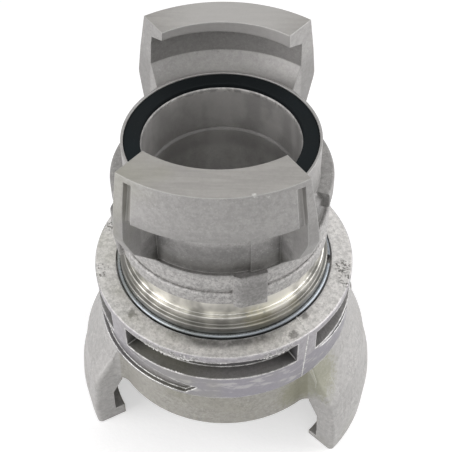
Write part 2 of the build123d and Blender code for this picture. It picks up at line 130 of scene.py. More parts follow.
class Finish:
    """One material, built up from shader nodes."""

    def __init__(self, name):
        self.material = bpy.data.materials.new(name)
        self.material.use_nodes = True
        self.tree = self.material.node_tree
        self.tree.nodes.clear()
        self.surface = self.node("ShaderNodeBsdfPrincipled")
        output = self.node("ShaderNodeOutputMaterial")
        self.tree.links.new(self.surface.outputs["BSDF"], output.inputs["Surface"])
        self.place = self.node("ShaderNodeTexCoord").outputs["Object"]

    def node(self, kind, **settings):
        made = self.tree.nodes.new(kind)
        for key, value in settings.items():
            setattr(made, key, value)
        return made

    def feed(self, socket, value):
        """Link a socket to another one, or write a plain value in it."""
        if isinstance(value, bpy.types.NodeSocket):
            self.tree.links.new(value, socket)
        else:
            socket.default_value = value

    def math(self, operation, first, second):
        made = self.node("ShaderNodeMath", operation=operation)
        self.feed(made.inputs[0], first)
        self.feed(made.inputs[1], second)
        return made.outputs[0]

    def both(self, first, second):
        """Two masks, or a mask and an amount, multiplied."""
        return self.math("MULTIPLY", first, second)

    def ramp(self, value, low, high, start=0.0, end=1.0):
        """Smooth step of a value between two levels."""
        made = self.node("ShaderNodeMapRange", interpolation_type="SMOOTHSTEP")
        for socket, number in zip(made.inputs, (value, low, high, start, end)):
            self.feed(socket, number)
        return made.outputs[0]

    def zone(self, value, low, high, blur):
        """One between two levels, and nothing outside them."""
        up = self.ramp(value, low - blur, low + blur)
        down = self.ramp(value, high - blur, high + blur, 1.0, 0.0)
        return self.both(up, down)

    def noise(self, scale, detail=4.0, roughness=0.55, stretch=None, shift=0.0):
        made = self.node("ShaderNodeTexNoise")
        self.feed(made.inputs["Vector"], self.stretched(stretch, shift))
        self.feed(made.inputs["Scale"], scale)
        self.feed(made.inputs["Detail"], detail)
        self.feed(made.inputs["Roughness"], roughness)
        return made.outputs["Fac"]

    def specks(self, scale, size):
        """Small round pits, one where the cells of a pattern allow it."""
        made = self.node("ShaderNodeTexVoronoi", feature="F1")
        self.feed(made.inputs["Vector"], self.stretched(None, 0.0))
        self.feed(made.inputs["Scale"], scale)
        return self.ramp(made.outputs["Distance"], size * 0.5, size, 1.0, 0.0)

    def stretched(self, stretch, shift):
        """The place on the part, moved along and scaled along each axis."""
        made = self.node("ShaderNodeMapping")
        self.feed(made.inputs["Vector"], self.place)
        made.inputs["Location"].default_value = (shift, shift * 0.7, shift * 1.3)
        if stretch:
            made.inputs["Scale"].default_value = stretch
        return made.outputs["Vector"]

    def spots(self, places, size, ragged):
        """Patches round the given places, with ragged outlines."""
        grain = self.noise(520.0, 4.0, 0.7, shift=0.6)
        wobble = self.math("MULTIPLY", self.math("SUBTRACT", grain, 0.5), ragged)
        total = 0.0
        for place in places:
            gap = self.node("ShaderNodeVectorMath", operation="DISTANCE")
            self.feed(gap.inputs[0], self.place)
            gap.inputs[1].default_value = place
            spot = self.ramp(self.math("ADD", gap.outputs["Value"], wobble), size * 0.35, size, 1.0, 0.0)
            total = self.math("MAXIMUM", spot, total)
        return total

    def lines(self, scale):
        """Fine rings at changing heights, as a lathe leaves them."""
        radius, height = self.around()
        along = self.math("ADD", height, self.math("MULTIPLY", radius, 0.8))
        made = self.node("ShaderNodeTexNoise", noise_dimensions="1D")
        self.feed(made.inputs["W"], self.math("MULTIPLY", along, scale))
        made.inputs["Detail"].default_value = 3.0
        return made.outputs["Fac"]

    def streaks(self, scale, along, shift=0.0):
        """Soft bands that run up a round wall, with some change of tone along the height."""
        flat = self.node("ShaderNodeVectorMath", operation="MULTIPLY")
        self.feed(flat.inputs[0], self.place)
        flat.inputs[1].default_value = (1.0, 1.0, 0.0)
        turn = self.node("ShaderNodeVectorMath", operation="NORMALIZE")
        self.feed(turn.inputs[0], flat.outputs[0])
        drop = self.node("ShaderNodeVectorMath", operation="MULTIPLY_ADD")
        self.feed(drop.inputs[0], self.place)
        drop.inputs[1].default_value = (0.0, 0.0, along)
        self.feed(drop.inputs[2], turn.outputs[0])
        moved = self.node("ShaderNodeMapping")
        self.feed(moved.inputs["Vector"], drop.outputs[0])
        moved.inputs["Location"].default_value = (shift, shift, shift)
        made = self.node("ShaderNodeTexNoise")
        self.feed(made.inputs["Vector"], moved.outputs["Vector"])
        self.feed(made.inputs["Scale"], scale)
        made.inputs["Detail"].default_value = 3.0
        return made.outputs["Fac"]

    def around(self):
        """Distance from the waterway's axis, and height above the floor."""
        parts = self.node("ShaderNodeSeparateXYZ")
        self.feed(parts.inputs[0], self.place)
        flat = self.node("ShaderNodeCombineXYZ")
        self.feed(flat.inputs[0], parts.outputs[0])
        self.feed(flat.inputs[1], parts.outputs[1])
        length = self.node("ShaderNodeVectorMath", operation="LENGTH")
        self.feed(length.inputs[0], flat.outputs[0])
        return length.outputs["Value"], parts.outputs[2]

    def facing(self):
        """How far the surface looks up, from -1 to 1."""
        normal = self.node("ShaderNodeSeparateXYZ")
        self.feed(normal.inputs[0], self.node("ShaderNodeNewGeometry").outputs["Normal"])
        return normal.outputs[2]

    def mix(self, amount, first, second, blend="MIX"):
        made = self.node("ShaderNodeMix", data_type="RGBA", blend_type=blend)
        self.feed(made.inputs["Factor"], amount)
        self.feed(made.inputs[6], first)
        self.feed(made.inputs[7], second)
        return made.outputs[2]

    def coat(self, colour, over, mask, amount):
        """A colour with another laid over it, as far as a mask and an amount say."""
        return self.mix(self.both(mask, amount), colour, over)

    def blend(self, amount, first, second):
        made = self.node("ShaderNodeMix", data_type="FLOAT")
        self.feed(made.inputs["Factor"], amount)
        self.feed(made.inputs[2], first)
        self.feed(made.inputs[3], second)
        return made.outputs[0]

    def hollows(self, reach):
        """One in corners and grooves, nothing on open faces."""
        made = self.node("ShaderNodeAmbientOcclusion", samples=8)
        made.inputs["Distance"].default_value = reach
        return self.math("SUBTRACT", 1.0, made.outputs["AO"])

    def rounded(self, radius):
        made = self.node("ShaderNodeBevel", samples=6)
        made.inputs["Radius"].default_value = radius
        return made.outputs["Normal"]

    def edges(self, radius):
        """One on edges and corners that handling has rubbed, where the ring also gets painted highlights."""
        dot = self.node("ShaderNodeVectorMath", operation="DOT_PRODUCT")
        self.feed(dot.inputs[0], self.rounded(radius))
        self.feed(dot.inputs[1], self.node("ShaderNodeNewGeometry").outputs["Normal"])
        return self.ramp(dot.outputs["Value"], 0.80, 0.995, 1.0, 0.0)

    def bump(self, height, depth, normal=None):
        made = self.node("ShaderNodeBump")
        made.inputs["Strength"].default_value = 1.0
        made.inputs["Distance"].default_value = depth
        self.feed(made.inputs["Height"], height)
        if normal is not None:
            self.feed(made.inputs["Normal"], normal)
        return made.outputs["Normal"]

    def finish(self, colour, roughness, metallic, normal):
        self.feed(self.surface.inputs["Base Color"], colour)
        self.feed(self.surface.inputs["Roughness"], roughness)
        self.feed(self.surface.inputs["Metallic"], metallic)
        self.feed(self.surface.inputs["Normal"], normal)
        return self.material


def tint(colour, amount):
    """A colour made lighter or darker."""
    return (colour[0] * amount, colour[1] * amount, colour[2] * amount, 1.0)


def wear(finish, colour, looks, grime, polish):
    """Darker hollows, dull stains and rubbed edges over a plain metal colour."""
    stain_place = finish.ramp(finish.noise(17.0, 3.0, shift=0.3), 0.56, 0.72)
    stained = finish.coat(colour, looks.stain_colour, stain_place, 0.28)
    darkening = finish.ramp(finish.noise(160.0, 4.0, 0.7, shift=0.8), 0.30, 0.70, 0.55, 1.0)
    hollow = finish.ramp(finish.hollows(looks.hollow_reach), 0.40, 0.95, 0.0, grime)
    dirty = finish.coat(stained, looks.grime_and_shade_colour, hollow, darkening)
    return finish.coat(dirty, looks.rubbed_and_highlight_colour, finish.edges(looks.edge_radius), polish)


def cast_skin(finish, looks, shade, coarse):
    """Colour, roughness and relief of a sand casting; coarse is 0 on a smooth skin and 1 on a rough one."""
    cast = looks.cast_colour
    cloud = finish.noise(34.0, 4.0, 0.6)
    colour = finish.mix(finish.ramp(cloud, 0.33, 0.67), tint(cast, shade * 0.94), tint(cast, shade * 1.06))
    mottle = finish.noise(430.0, 5.0, 0.75)
    flecked = finish.mix(finish.ramp(mottle, 0.32, 0.68), tint(cast, shade * 0.60), tint(cast, shade * 1.38))
    colour = finish.mix(finish.blend(coarse, 0.22, 0.60), colour, flecked)
    # Dark and pale grains of the sand
    grit = finish.noise(1050.0, 3.0, 0.75, shift=2.3)
    dark = finish.ramp(grit, 0.56, 0.72)
    colour = finish.coat(colour, tint(cast, shade * 0.36), dark, finish.blend(coarse, 0.14, 0.55))
    pale = finish.ramp(grit, 0.43, 0.32)
    colour = finish.coat(colour, looks.rubbed_and_highlight_colour, pale, finish.blend(coarse, 0.12, 0.70))
    pitted = finish.ramp(finish.noise(70.0, 3.0, shift=1.7), 0.60, 0.70)
    pits = finish.both(finish.specks(300.0, 0.13), pitted)
    colour = finish.coat(colour, looks.grime_and_shade_colour, pits, 0.5)
    lumps = finish.math("MULTIPLY", mottle, finish.blend(coarse, 0.5, 1.6))
    relief = finish.math("ADD", finish.math("MULTIPLY", grit, -0.8), lumps)
    relief = finish.math("SUBTRACT", relief, pits)
    relief = finish.math("MULTIPLY", relief, finish.blend(coarse, 0.35, 1.25))
    normal = finish.bump(relief, looks.grain_depth, finish.rounded(looks.edge_radius))
    rough = finish.ramp(cloud, 0.2, 0.8, looks.cast_roughness - 0.05, looks.cast_roughness + 0.06)
    return colour, rough, normal


# Small half


def shade_neck_light_collars(finish, looks, colour, neck, height):
    """Painted shade on the neck's wall in patches and in its seams, and gravelly collars under it made
    lighter as painted light.
    """
    cast = looks.cast_colour
    wall = finish.both(neck, finish.zone(height, COLLARS_TOP + 0.0006, NECK_TOP, 0.002))
    # Painted shade in patches on the neck's wall under the claws
    neck_shade = finish.ramp(finish.noise(95.0, 4.0, 0.65, shift=1.2), 0.35, 0.65, 0.45, 0.80)
    colour = finish.coat(colour, tint(cast, 0.36), wall, neck_shade)
    # More painted shade on the wall just above the collars
    low = finish.both(wall, finish.ramp(height, COLLARS_TOP + 0.012, COLLARS_TOP + 0.003))
    colour = finish.coat(colour, looks.grime_and_shade_colour, low, 0.62)
    # Painted shade in the seams and grooves of the neck
    seam_shade = finish.ramp(finish.hollows(0.0036), 0.22, 0.62, 0.0, 0.75)
    colour = finish.coat(colour, looks.grime_and_shade_colour, neck, seam_shade)
    collars = finish.both(neck, finish.ramp(height, COLLARS_TOP, COLLARS_TOP - 0.003))
    # Coarse grain on the collars, made lighter as painted light
    lit_gravel = finish.ramp(finish.noise(640.0, 4.0, 0.75, shift=0.4), 0.38, 0.62)
    return finish.coat(colour, finish.mix(lit_gravel, tint(cast, 0.68), tint(cast, 1.58)), collars, 0.55)


def shade_claws_and_lugs(finish, looks, colour, radius, height):
    """Painted shade on the lower part of the claws' panels and on the faces of the spanner lugs."""
    # Painted shade on the lower part of the claws' panels
    backs = finish.ramp(radius, CLAW_LIMIT, CLAW_LIMIT + 0.0020)
    panel_foot_shade = finish.both(finish.ramp(height, PANEL_FOOT + 0.012, PANEL_FOOT), backs)
    colour = finish.coat(colour, tint(looks.cast_colour, 0.50), panel_foot_shade, 0.42)
    # Painted shade on the faces of the spanner lugs
    proud = finish.ramp(radius, LUG_RADIUS - 0.0020, LUG_RADIUS - 0.0012)
    lugs = finish.both(finish.spots(LUG_FACES, 0.0150, 0.004), proud)
    return finish.coat(colour, tint(looks.cast_colour, 0.36), lugs, 0.58)


def machine_hook_ends(finish, looks, colour, height):
    """Turned faces on top of the hooks, with painted light on the back claw's top."""
    cast = looks.cast_colour
    level = finish.ramp(height, SMALL_CLAW_TOP - 0.0012, SMALL_CLAW_TOP - 0.0004)
    top = finish.both(level, finish.ramp(finish.facing(), 0.7, 0.95))
    turned = finish.noise(50.0, 4.0, stretch=(1.0, 8.0, 1.0))
    machined = finish.mix(finish.ramp(turned, 0.3, 0.7), tint(cast, 0.74), tint(cast, 0.92))
    machined = finish.mix(1.0, machined, (1.0, 0.985, 0.95, 1.0), "MULTIPLY")
    colour = finish.coat(colour, machined, top, 0.7)
    # Painted light on the top of the back claw
    back_claw_light = finish.both(top, finish.spots(BACK_CLAW_TOP, 0.044, 0.010))
    return finish.coat(colour, tint(cast, 1.28), back_claw_light, 0.55)


def dress_bore(finish, looks, colour, bore, radius, height):
    """Drips and blotches in the bore, painted shade on the step in it, and a scuffed lip inside the seal."""
    cast = looks.cast_colour
    drips = finish.math("MULTIPLY", finish.streaks(2.6, 9.0, 0.4), 0.6)
    blotch = finish.math("ADD", drips, finish.math("MULTIPLY", finish.noise(75.0, 4.0, 0.6), 0.4))
    inner = finish.mix(finish.ramp(blotch, 0.40, 0.60), tint(cast, 0.88), tint(cast, 1.26))
    colour = finish.coat(colour, inner, bore, 0.75)
    # Painted shade on the step in the bore, which faces up into the light
    step = finish.both(bore, finish.zone(height, BORE_STEP - 0.0014, BORE_STEP + 0.0001, 0.0003))
    colour = finish.coat(colour, tint(cast, 0.34), step, 0.75)
    tail = finish.both(bore, finish.ramp(height, BORE_STEP, BORE_STEP - 0.004))
    colour = finish.coat(colour, tint(cast, 0.5), tail, 0.25)
    rim = finish.zone(radius, BORE_RADIUS - 0.0009, BORE_RADIUS + 0.0009, 0.0002)
    lip = finish.both(rim, finish.ramp(height, RIM_FACE - 0.0060, RIM_FACE - 0.0042))
    scuff = finish.ramp(finish.noise(330.0, 4.0, 0.7, shift=0.5), 0.42, 0.58)
    return finish.coat(colour, finish.mix(scuff, tint(cast, 0.5), tint(cast, 1.5)), lip, 0.5)


def light_hook_insides(finish, looks, colour, radius, height):
    """Painted light on the insides of the hooks, where they are sheltered and where they face the waterway.
    """
    # Painted light where the hooks are sheltered
    sheltered = finish.ramp(finish.hollows(0.020), 0.25, 0.65)
    inside = finish.both(sheltered, finish.ramp(height, RIM_FACE - 0.012, RIM_FACE - 0.006))
    inside = finish.both(inside, finish.ramp(radius, RIM_RADIUS, RIM_RADIUS + 0.0010))
    colour = finish.coat(colour, tint(looks.cast_colour, 1.55), inside, 0.65)
    # Painted light on the hooks' walls that face the waterway
    wall = finish.ramp(radius, HOOK_RADIUS + 0.0008, HOOK_RADIUS + 0.0003)
    wall = finish.both(finish.ramp(height, RIM_FACE + 0.002, RIM_FACE + 0.004), wall)
    wall = finish.both(wall, finish.ramp(finish.facing(), 0.45, 0.20))
    return finish.coat(colour, tint(looks.cast_colour, 1.40), wall, 0.55)


def small_half_metal(looks):
    """Smooth on the claws, rough on the neck and collars, machined on the hooks' ends and in the bore."""
    finish = Finish("small half cast aluminium")
    radius, height = finish.around()
    low = finish.ramp(height, NECK_TOP + 0.006, NECK_TOP - 0.006)
    neck = finish.both(low, finish.ramp(radius, CLAW_LIMIT + 0.004, CLAW_LIMIT))
    bore = finish.ramp(radius, BORE_RADIUS + 0.0001, BORE_RADIUS + 0.0007, 1.0, 0.0)
    colour, rough, normal = cast_skin(finish, looks, 0.86, finish.blend(neck, 0.15, 1.0))
    colour = shade_neck_light_collars(finish, looks, colour, neck, height)
    colour = shade_claws_and_lugs(finish, looks, colour, radius, height)
    colour = machine_hook_ends(finish, looks, colour, height)
    colour = dress_bore(finish, looks, colour, bore, radius, height)
    colour = light_hook_insides(finish, looks, colour, radius, height)
    colour = wear(finish, colour, looks, finish.blend(bore, 0.34, 0.10), finish.blend(neck, 0.45, 0.20))
    colour = finish.coat(colour, looks.rubbed_and_highlight_colour, finish.spots(CLAW_NICKS, 0.0012, 0.0045), 0.7)
    return finish.finish(colour, rough, looks.cast_metallic, normal)


# Large half


def turned_hub(finish, looks, lines, smear_and_reflection, height):
    """Colour of the bright hub: streaks that are partly smears and partly painted reflections, lathe lines,
    an oily film, painted highlights, painted shade on the steps, darker hollows, and darker towards the ring.
    """
    turned = looks.turned_colour
    # Streaks of tone that are partly smears and partly painted reflections
    bright = finish.mix(finish.ramp(smear_and_reflection, 0.38, 0.62), tint(turned, 0.62), tint(turned, 1.45))
    bright = finish.coat(bright, tint(turned, 0.5), finish.ramp(lines, 0.5, 0.75), 0.16)
    bright = finish.coat(bright, looks.oil_colour, finish.spots(HUB_STAINS, 0.011, 0.016), 0.6)
    # Painted highlights on the hub
    bright = finish.coat(bright, tint(turned, 1.60), finish.spots(HUB_PAINTED_HIGHLIGHTS, 0.0100, 0.006), 0.80)
    # Painted shade on the upward faces of the hub's steps
    low = finish.ramp(height, RING_HIGH.z + 0.0110, RING_HIGH.z + 0.0080)
    steps = finish.both(finish.ramp(finish.facing(), 0.35, 0.80), low)
    bright = finish.coat(bright, tint(turned, 0.36), steps, 0.75)
    darkening = finish.ramp(finish.hollows(0.005), 0.40, 0.90, 0.0, 0.7)
    bright = finish.mix(darkening, bright, looks.grime_and_shade_colour)
    foot = finish.ramp(height, RING_HIGH.z + 0.0105, RING_HIGH.z + 0.0035)
    return finish.coat(bright, tint(turned, 0.35), foot, 0.62)


def large_half_metal(looks):
    """Cast claws and skirt, and a bright turned hub."""
    finish = Finish("large half cast aluminium")
    radius, height = finish.around()
    borders = finish.ramp(finish.noise(120.0, 3.0, shift=0.2), 0.45, 0.62, 0.25, 0.75)
    colour, rough, normal = cast_skin(finish, looks, 1.04, borders)
    colour = finish.coat(colour, looks.stain_colour, finish.spots(ROOT_STAINS, 0.017, 0.022), 0.66)
    colour = wear(finish, colour, looks, 0.60, 0.60)
    # The skirt is yellower than the claws, and darker as painted shade
    low = finish.ramp(height, RING_LOW.z + 0.0005, RING_LOW.z)
    skirt = finish.both(finish.ramp(radius, SKIRT_LIMIT + 0.0008, SKIRT_LIMIT), low)
    colour = finish.mix(finish.both(skirt, 0.9), colour, (0.80, 0.79, 0.73, 1.0), "MULTIPLY")
    # The hub is turned from the ring's underside up
    high = finish.ramp(height, RING_LOW.z - 0.0006, RING_LOW.z)
    hub = finish.both(finish.ramp(radius, HUB_LIMIT, HUB_LIMIT + 0.0005, 1.0, 0.0), high)
    lines = finish.lines(1500.0)
    smear_and_reflection = finish.streaks(3.2, 14.0, 0.9)
    colour = finish.mix(hub, colour, turned_hub(finish, looks, lines, smear_and_reflection, height))
    gloss = finish.ramp(smear_and_reflection, 0.3, 0.7, looks.turned_roughness + 0.08, looks.turned_roughness - 0.04)
    rough = finish.blend(hub, rough, gloss)
    metallic = finish.blend(hub, looks.cast_metallic, 1.0)
    relief = finish.node("ShaderNodeMix", data_type="VECTOR")
    finish.feed(relief.inputs["Factor"], hub)
    finish.feed(relief.inputs[4], normal)
    finish.feed(relief.inputs[5], finish.bump(lines, 0.000010, finish.rounded(looks.edge_radius * 0.5)))
    return finish.finish(colour, rough, metallic, relief.outputs[1])


# Locking ring


def soil_top_shade_sides(finish, looks, colour, top, radius):
    """Pits and dirt on the ring's top, painted shade on its sides, and a zone beside the wire at the front
    that is partly dirt and partly painted shade.
    """
    ragged = finish.ramp(finish.noise(900.0, 3.0, shift=3.1), 0.50, 0.57)
    pits = finish.both(finish.spots(RING_PITS, 0.0062, 0.012), ragged)
    colour = finish.coat(colour, looks.grime_and_shade_colour, pits, 0.85)
    colour = finish.coat(colour, looks.grime_and_shade_colour, finish.spots(RING_DIRT, 0.0036, 0.006), 0.6)
    # Painted shade on the ring's sides
    shaded_sides = finish.math("SUBTRACT", 1.0, top)
    colour = finish.mix(shaded_sides, colour, (0.54, 0.53, 0.57, 1.0), "MULTIPLY")
    # Beside the wire at the front: partly dirt, partly painted shade
    dirt_and_shade = finish.ramp(finish.noise(150.0, 4.0, 0.7, shift=0.9), 0.35, 0.65, 0.5, 0.95)
    inner = finish.both(finish.ramp(radius, 0.0636, 0.0588), finish.both(top, dirt_and_shade))
    return finish.coat(colour, tint(looks.cast_colour, 0.34), inner, finish.spots(RING_FRONT, 0.040, 0.012))


def tear_flange(finish, looks, colour):
    """Shreds of bright and dark metal along the roof of the front slot."""
    shreds = finish.ramp(finish.noise(820.0, 3.0, 0.7, shift=4.0), 0.50, 0.60)
    shredded = finish.mix(shreds, tint(looks.cast_colour, 0.45), tint(looks.rubbed_and_highlight_colour, 1.1))
    return finish.coat(colour, shredded, finish.spots(TORN_FLANGE, 0.0034, 0.007), 0.7)


def turn_band(finish, looks, colour, band):
    """Bluish lathe-smoothed band under the slots, with pale scratches."""
    cast = looks.cast_colour
    smooth = finish.mix(finish.lines(1900.0), tint(cast, 0.66), tint(cast, 0.90))
    smooth = finish.mix(1.0, smooth, (0.82, 0.81, 0.93, 1.0), "MULTIPLY")
    scratches = finish.ramp(finish.noise(120.0, 3.0, stretch=(1.0, 1.0, 2.6), shift=1.1), 0.52, 0.68)
    smooth = finish.coat(smooth, tint(cast, 1.35), scratches, 0.55)
    return finish.coat(colour, smooth, band, 0.8)


def shade_slots(finish, looks, colour, height):
    """Painted shade in the slots and grooves, and on the ledges in them under the roof."""
    recess_shade = finish.ramp(finish.hollows(0.012), 0.20, 0.58, 0.0, 0.82)
    colour = finish.mix(recess_shade, colour, tint(looks.cast_colour, 0.22))
    under = finish.ramp(height, SLOT_ROOF + 0.001, SLOT_ROOF)
    shaded_ledges = finish.both(finish.ramp(finish.facing(), 0.45, 0.85), under)
    return finish.coat(colour, tint(looks.cast_colour, 0.42), shaded_ledges, 0.72)


def ring_metal(looks):
    """Rough pitted top lightened as painted light, rubbed edges partly brightened as painted highlights, and
    a lower band that a lathe has smoothed.
    """
    finish = Finish("locking ring aluminium")
    radius, height = finish.around()
    top = finish.ramp(finish.facing(), 0.75, 0.95)
    low = finish.ramp(height, SLOT_FLOOR - 0.0004, SLOT_FLOOR - 0.0009)
    band = finish.both(low, finish.ramp(radius, BAND_LIMIT, BAND_LIMIT + 0.0010))
    # The shade of 1.62 lightens the whole ring as painted light on its top; the sides are darkened back as
    # painted shade
    colour, rough, normal = cast_skin(finish, looks, 1.62, finish.blend(top, 0.45, 1.0))
    colour = soil_top_shade_sides(finish, looks, colour, top, radius)
    colour = tear_flange(finish, looks, colour)
    colour = turn_band(finish, looks, colour, band)
    colour = shade_slots(finish, looks, colour, height)
    colour = wear(finish, colour, looks, 0.80, 0.5)
    # Rubbed edges of the ring, brightened further as painted highlights
    patchy = finish.ramp(finish.noise(210.0, 3.0, 0.6, shift=2.0), 0.38, 0.55)
    colour = finish.coat(colour, tint(looks.rubbed_and_highlight_colour, 1.15), finish.edges(0.0015), patchy)
    rough = finish.blend(band, finish.math("SUBTRACT", rough, 0.08), looks.turned_roughness + 0.10)
    return finish.finish(colour, rough, finish.blend(band, 0.70, 0.90), normal)


# Wire, seals and flash


def spring_wire(looks):
    """Blued steel with a fine drawn grain."""
    finish = Finish("spring steel wire")
    streak = finish.streaks(60.0, 200.0)
    colour = finish.mix(finish.ramp(streak, 0.3, 0.7), looks.wire_colour, tint(looks.wire_colour, 1.7))
    colour = wear(finish, colour, looks, 0.6, 0.15)
    rough = finish.ramp(streak, 0.2, 0.8, 0.24, 0.38)
    return finish.finish(colour, rough, 1.0, finish.bump(streak, 0.00003))


def seal_rubber(looks):
    """Matt black rubber with a faint bloom and a little dust."""
    finish = Finish("black seal rubber")
    bloom = finish.noise(34.0, 5.0, 0.6)
    colour = finish.mix(finish.ramp(bloom, 0.4, 0.75), looks.rubber_colour, tint(looks.rubber_colour, 1.8))
    colour = finish.coat(colour, tint(looks.cast_colour, 0.5), finish.specks(900.0, 0.14), 0.10)
    rough = finish.ramp(bloom, 0.3, 0.7, 0.66, 0.80)
    finish.surface.inputs["Specular IOR Level"].default_value = 0.14
    return finish.finish(colour, rough, 0.0, finish.bump(finish.noise(1500.0, 3.0), 0.00005))


def flash_metal(looks):
    """Bright torn metal of burrs and of the raised line between the mould's halves."""
    finish = Finish("casting flash")
    torn = finish.noise(1300.0, 3.0, 0.7)
    colour = finish.mix(finish.ramp(torn, 0.35, 0.60), looks.cast_colour, tint(looks.rubbed_and_highlight_colour, 1.25))
    return finish.finish(colour, 0.38, looks.cast_metallic, finish.bump(torn, 0.0001))


# Casting marks


def capped_strip(name, verts, corners):
    """Closed strip through like sections of a few corners each, with both ends capped."""
    faces = []
    for start in range(0, len(verts) - corners, corners):
        for corner in range(corners):
            a, b = start + corner, start + (corner + 1) % corners
            faces.append((a, b, b + corners, a + corners))
    faces += [tuple(reversed(range(corners))), tuple(range(len(verts) - corners, len(verts)))]
    mesh = bpy.data.meshes.new(name)
    mesh.from_pydata([tuple(vert) for vert in verts], [], faces)
    mesh.validate()
    strip = bpy.data.objects.new(name, mesh)
    bpy.context.collection.objects.link(strip)
    return strip


def raised_line(name, places, outward, chance):
    """Low uneven bead along some places of a surface; outward gives the surface's direction at each place."""
    width, height = 0.0008, 0.00020
    section = ((-1.0, -0.6), (-0.55, 0.7), (0.0, 1.0), (0.55, 0.7), (1.0, -0.6))
    verts = []
    for step, (place, up) in enumerate(zip(places, outward)):
        before, after = places[max(step - 1, 0)], places[min(step + 1, len(places) - 1)]
        side = (after - before).cross(up).normalized()
        wide = width / 2 * chance.uniform(0.7, 1.2)
        tall = height * chance.uniform(0.6, 1.2)
        verts += [place + side * wide * across + up * tall * lift for across, lift in section]
    return capped_strip(name, verts, len(section))


def torn_edge(name, start, end, level, drop, chance):
    """Jagged flash that hangs from an edge between two turns, thin and uneven."""
    steps_a_degree, fewest_steps = 2.2, 6
    count = max(fewest_steps, int(abs(end - start) * steps_a_degree))
    # How far the flash hangs at least, stands off the edge, and stands out of the ring above and below
    least_hang, skin = 0.00005, 0.00002
    above, below = RING_RADIUS + 0.00012, RING_RADIUS + 0.00005
    verts = []
    for step in range(count + 1):
        turn = start + (end - start) * step / count
        fade = math.sqrt(max(0.0, math.sin(math.pi * step / count)))
        hang = drop * fade * chance.choice((0.15, 0.35, 0.6, 1.0)) * chance.uniform(0.6, 1.1)
        hang += math.copysign(least_hang, drop)
        inner = RING_RADIUS - (0.00035 + 0.0002 * chance.random())
        verts += [
            at(turn, inner, level + skin),
            at(turn, above, level + skin),
            at(turn, below, level - hang + skin),
            at(turn, inner, level - hang * 0.8 + skin),
        ]
    return capped_strip(name, verts, 4)


def mould_line(count, start, swing, radius, run, level, drop):
    """Places along the mould's line, which swings a little as it runs outwards or down."""
    return [
        at(start - swing * step / count, radius + run * step / count, level - drop * step / count)
        for step in range(count + 1)
    ]


def mark_ring(looks):
    """Raised line between the mould's halves, and burrs along the slots."""
    chance = random.Random(11)
    spare = 0.0006
    top = mould_line(14, -46.6, 1.8, 0.0560, 0.0108, RING_HIGH.z, 0.0)
    drop = RING_HIGH.z - RING_LOW.z - 2 * spare
    side = mould_line(24, -48.6, 2.2, RING_RADIUS, 0.0, RING_HIGH.z - spare, drop)
    sideways = [Vector((place.x, place.y, 0)).normalized() for place in side]
    pieces = [
        raised_line("parting_line_top", top, [Vector((0, 0, 1))] * len(top), chance),
        raised_line("parting_line_side", side, sideways, chance),
    ]
    for number, (start, end, level, hang) in enumerate(BURRS):
        pieces.append(torn_edge(f"slot_flash_{number}", start, end, level, hang, chance))
    metal = flash_metal(looks)
    for piece in pieces:
        piece.data.materials.append(metal)
        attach(piece, "ring")


def wear_finish(node, material):
    """Put a finish on a node of the frame."""
    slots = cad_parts[node].material_slots
    if not slots:
        raise RuntimeError(f"{node} has no material slot")
    for slot in slots:
        slot.material = material


# Settings


def colour_setting(name, description, default):
    """A colour, shown as a swatch."""
    return bpy.props.FloatVectorProperty(
        name=name, description=description, default=default, size=4, min=0.0, max=1.0, subtype="COLOR"
    )


def share_setting(name, description, default):
    """A share, from nothing to all."""
    return bpy.props.FloatProperty(
        name=name, description=description, default=default, min=0.0, max=1.0, subtype="FACTOR"
    )


def length_setting(name, description, default, digits):
    """A small length, shown with enough digits."""
    return bpy.props.FloatProperty(
        name=name, description=description, default=default, min=0.0, unit="LENGTH", precision=digits
    )


def angle_setting(name, description, default):
    """An angle, kept in radians."""
    return bpy.props.FloatProperty(name=name, description=description, default=default, subtype="ANGLE")


def power_setting(name, description, default):
    """Power of a lamp, in watts."""
    return bpy.props.FloatProperty(name=name, description=description, default=default, min=0.0, unit="POWER")


def plain_setting(name, description, default, least=0.0):
    """A number without a unit."""
    return bpy.props.FloatProperty(name=name, description=description, default=default, min=least)


class CouplingLooks(bpy.types.PropertyGroup):
    """Colours and textures of the coupling."""

    cast_colour: colour_setting("Cast metal", "Colour of the cast aluminium", (0.385, 0.376, 0.366, 1.0))
    turned_colour: colour_setting("Turned metal", "Colour of the turned hub", (0.52, 0.51, 0.475, 1.0))
    oil_colour: colour_setting("Oil film", "Yellowish film on the turned hub", (0.60, 0.56, 0.38, 1.0))
    stain_colour: colour_setting("Stain", "Yellow-green stain on the castings", (0.27, 0.27, 0.185, 1.0))
    # Dark dirt in pits and hollows, also used for painted shade on the neck and in its seams
    grime_and_shade_colour: colour_setting("Grime", "Dark dirt in hollows and pits", (0.055, 0.052, 0.044, 1.0))
    # Bright metal on worn edges, also used for painted highlights on the ring's edges
    rubbed_and_highlight_colour: colour_setting("Rubbed edge", "Bright metal on worn edges", (0.66, 0.655, 0.64, 1.0))
    wire_colour: colour_setting("Spring wire", "Dark blued steel", (0.17, 0.185, 0.20, 1.0))
    rubber_colour: colour_setting("Rubber", "Black seal rubber", (0.0040, 0.0060, 0.0070, 1.0))
    cast_roughness: share_setting("Cast roughness", "Roughness of the cast skin", 0.50)
    cast_metallic: share_setting("Cast metallic", "Share of metal in the cast skin", 0.45)
    turned_roughness: share_setting("Turned roughness", "Roughness of the turned hub", 0.30)
    grain_depth: length_setting("Grain depth", "Height of the casting grain", 0.00016, 5)
    edge_radius: length_setting("Edge radius", "Rounding of edges in the shading", 0.0009, 5)
    hollow_reach: length_setting("Hollow reach", "How far grime spreads from a corner", 0.009, 4)


